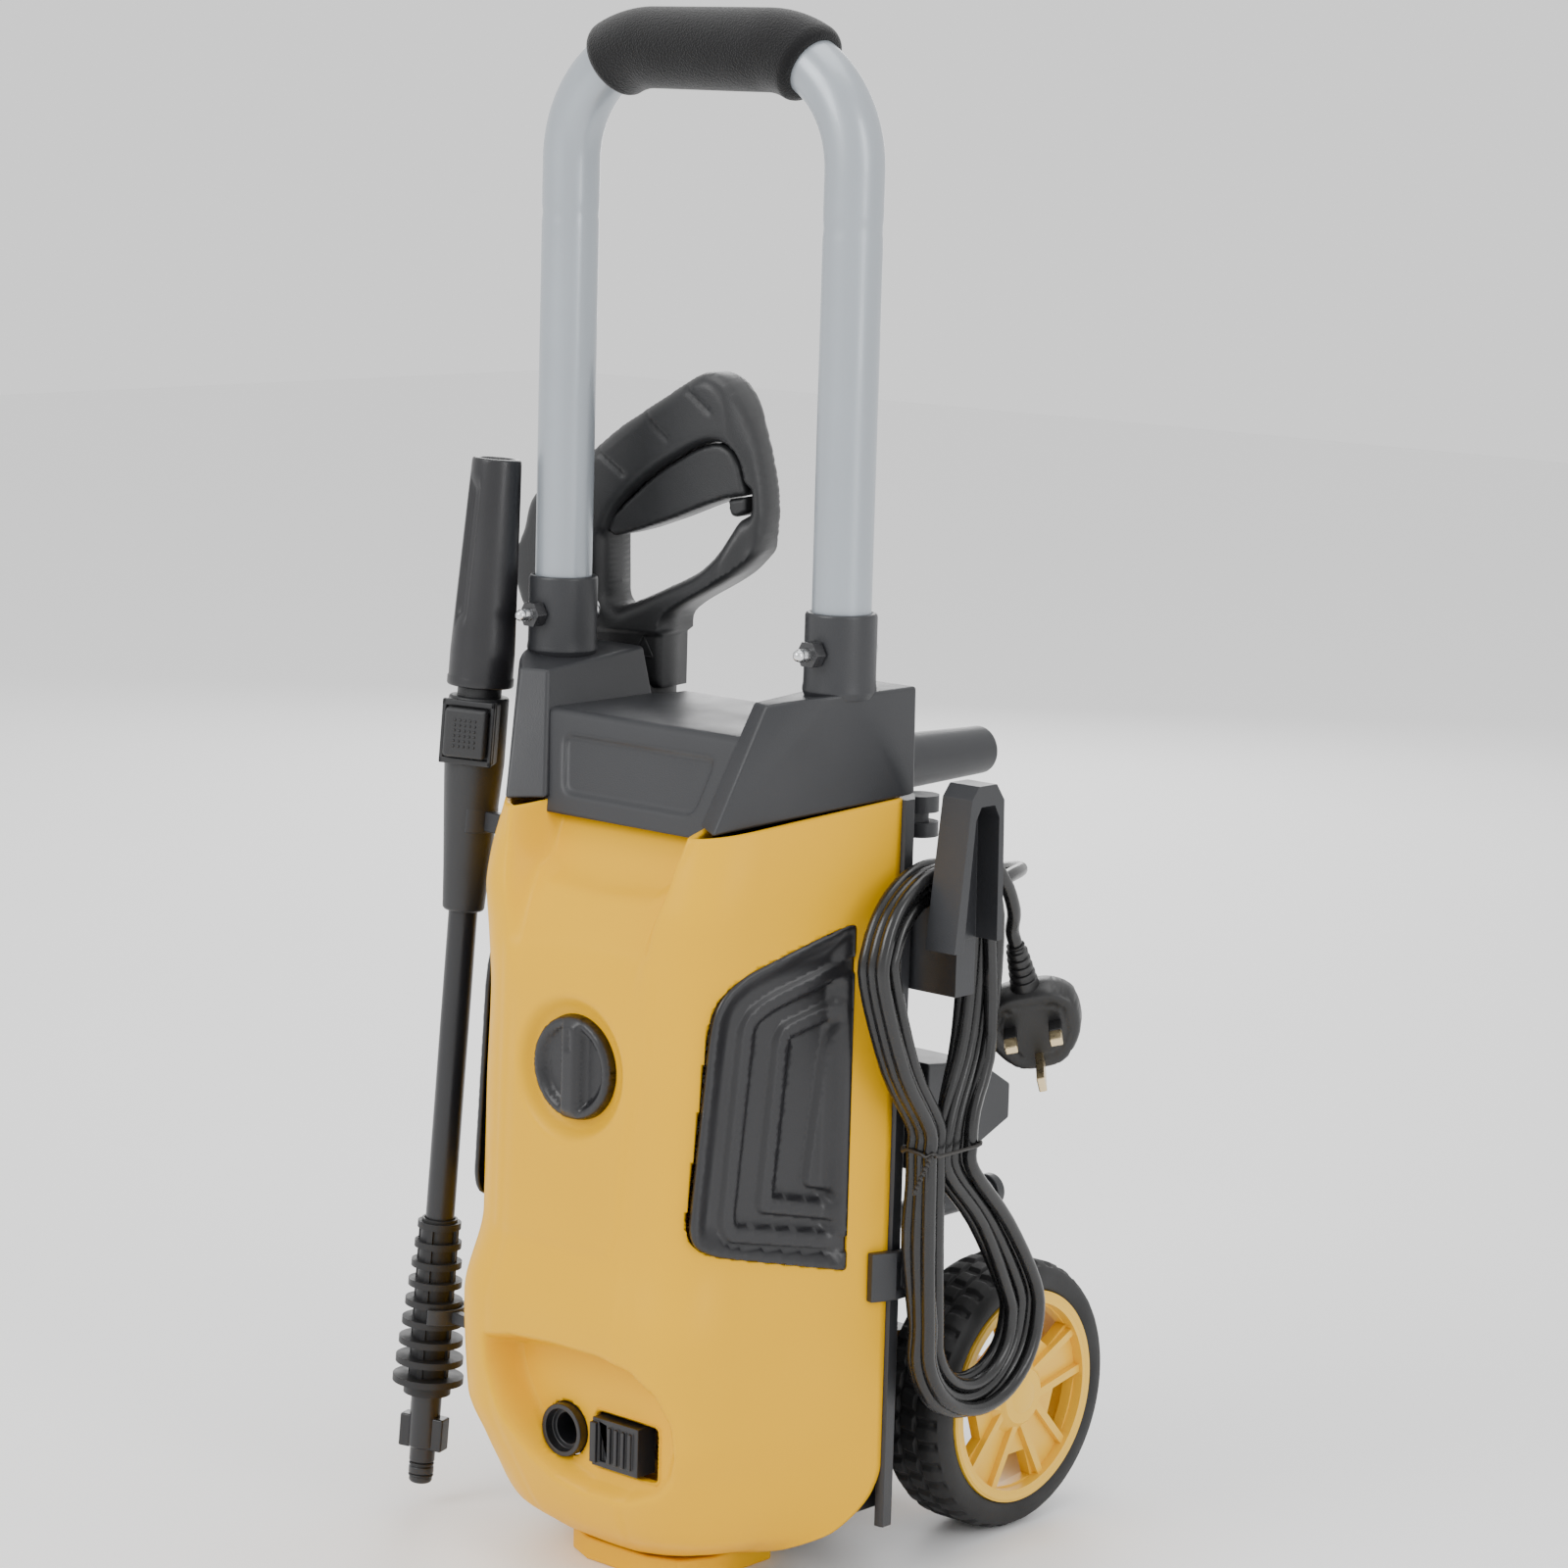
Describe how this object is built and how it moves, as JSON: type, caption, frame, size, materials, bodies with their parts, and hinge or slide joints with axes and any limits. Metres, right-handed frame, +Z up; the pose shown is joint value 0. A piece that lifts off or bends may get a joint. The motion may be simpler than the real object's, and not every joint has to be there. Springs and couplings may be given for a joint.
{
  "type": "pressure washer",
  "caption": "Upright electric pressure washer on two wheels with a looped push handle, hooked mains lead, stored spray gun and clipped lance.",
  "frame": {"origin": "on the floor under the front foot, on the centre plane, in the plane of the two handle tubes", "axes": "+X to the right seen from the front, +Y to the rear, +Z up"},
  "size_m": [0.313, 0.3088, 0.7547],
  "materials": {
    "yellow_shell": "semi-gloss moulded plastic",
    "black_shell": "satin moulded plastic",
    "black_trim": "fine grained plastic",
    "grey_tube": "silver-grey satin paint",
    "grip_foam": "soft closed foam",
    "zinc_steel": "zinc plated",
    "black_nut": "blackened steel",
    "wheel_rim": "moulded plastic",
    "wheel_tyre": "moulded tread",
    "capacitor_case": "plain plastic",
    "pump_metal": "die-cast",
    "rotor_steel": "turned steel",
    "copper_winding": "enamelled copper winding",
    "brass_fitting": "turned brass",
    "gun_plastic": "textured plastic",
    "bumper_rubber": "moulded rubber",
    "cable_sheath": "smooth round cable sheath",
    "tie_wire": "twist tie",
    "plug_shell": "moulded plug"
  },
  "bodies": {
    "body": {"front_shell": "yellow_shell", "back_shell": "black_shell", "top_cover": "black_shell", "side_vents": "black_trim", "base_foot": "yellow_shell", "handle_tube": "grey_tube", "foam_grip": "grip_foam", "handle_bolts": "zinc_steel", "handle_nuts": "black_nut", "cable_hook": "black_shell", "hose_pegs": "black_shell", "detergent_tank": "black_shell", "tank_cap": "black_trim", "side_clips": "black_shell", "rear_clip": "black_shell", "lance_clips": "black_shell", "gun_holster": "black_shell", "axle_carrier": "black_shell", "axle": "zinc_steel", "axle_washers": "zinc_steel", "switch_box": "black_trim", "capacitor": "capacitor_case", "outlet_socket": "black_trim", "outlet_pipe": "brass_fitting", "water_inlet": "black_trim", "motor_case": "zinc_steel", "motor_end_bells": "pump_metal", "motor_cradle": "black_shell", "stator": "copper_winding", "pump_housing": "pump_metal", "pump_head": "pump_metal", "cord_gland": "bumper_rubber", "cord_feed": "cable_sheath", "cord_hank": "cable_sheath", "cord_tie": "tie_wire", "plug_lead": "cable_sheath", "plug_body": "plug_shell", "plug_pins": "brass_fitting"},
    "wheel_right": {"rim_right": "wheel_rim", "tyre_right": "wheel_tyre"},
    "wheel_left": {"rim_left": "wheel_rim", "tyre_left": "wheel_tyre"},
    "knob": {"selector_knob": "black_trim"},
    "outlet_slider": {"outlet_lock": "black_trim"},
    "gun": {"gun_shell": "gun_plastic", "gun_inlet": "brass_fitting"},
    "trigger": {"gun_trigger": "gun_plastic"},
    "lock": {"gun_lock": "gun_plastic"},
    "lance": {"lance_shaft": "gun_plastic", "lance_bumper": "bumper_rubber", "lance_grip": "gun_plastic"},
    "nozzle": {"nozzle_head": "gun_plastic", "nozzle_insert": "brass_fitting"},
    "release_button": {"lance_button": "gun_plastic"},
    "rotor_group": {"rotor": "rotor_steel", "cooling_fan": "black_trim", "wobble_plate": "rotor_steel"},
    "piston_a": {"piston_1": "rotor_steel"},
    "piston_b": {"piston_2": "rotor_steel"},
    "piston_c": {"piston_3": "rotor_steel"}
  },
  "joints": [
    {"name": "wheel_right_spin", "type": "hinge", "parent": "body", "child": "wheel_right", "pos_m": [0.08, 0.1489, 0.0689], "axis": [1, 0, 0], "continuous": true},
    {"name": "wheel_left_spin", "type": "hinge", "parent": "body", "child": "wheel_left", "pos_m": [-0.08, 0.1489, 0.0689], "axis": [1, 0, 0], "continuous": true},
    {"name": "knob_turn", "type": "hinge", "parent": "body", "child": "knob", "pos_m": [0, -0.08, 0.2575], "axis": [0, 1, 0], "range_deg": [0, 90]},
    {"name": "outlet_release", "type": "slide", "parent": "body", "child": "outlet_slider", "axis": [1, 0, 0], "range_m": [0, 0.006], "stiffness_N_per_m": 300},
    {"name": "gun_lift", "type": "slide", "parent": "body", "child": "gun", "axis": [0, 0, 1], "range_m": [0, 0.15]},
    {"name": "trigger_pull", "type": "hinge", "parent": "gun", "child": "trigger", "pos_m": [-0.10963, 0.05624, 0.503], "axis": [0.2079, -0.9781, 0], "range_deg": [0, 6], "stiffness_Nm_per_rad": 0.6},
    {"name": "trigger_lock", "type": "slide", "parent": "gun", "child": "lock", "axis": [0.2079, -0.9781, 0], "range_m": [0, 0.004]},
    {"name": "lance_lift", "type": "slide", "parent": "body", "child": "lance", "axis": [0.0268, 0.0554, 0.9981], "range_m": [0, 0.15]},
    {"name": "nozzle_twist", "type": "hinge", "parent": "lance", "child": "nozzle", "pos_m": [-0.134, -0.047, 0.013], "axis": [0.0268, 0.0554, 0.9981], "range_deg": [-45, 45]},
    {"name": "lance_release", "type": "slide", "parent": "lance", "child": "release_button", "axis": [-0.4707, 0.8816, -0.0364], "range_m": [0, 0.002], "stiffness_N_per_m": 400},
    {"name": "rotor_spin", "type": "hinge", "parent": "body", "child": "rotor_group", "pos_m": [0, 0.02, 0.2], "axis": [0, 0, 1], "continuous": true},
    {"name": "piston_1_stroke", "type": "slide", "parent": "body", "child": "piston_a", "axis": [0, 0, -1], "range_m": [0, 0.006], "stiffness_N_per_m": 500},
    {"name": "piston_2_stroke", "type": "slide", "parent": "body", "child": "piston_b", "axis": [0, 0, -1], "range_m": [0, 0.006], "stiffness_N_per_m": 500},
    {"name": "piston_3_stroke", "type": "slide", "parent": "body", "child": "piston_c", "axis": [0, 0, -1], "range_m": [0, 0.006], "stiffness_N_per_m": 500}
  ]
}
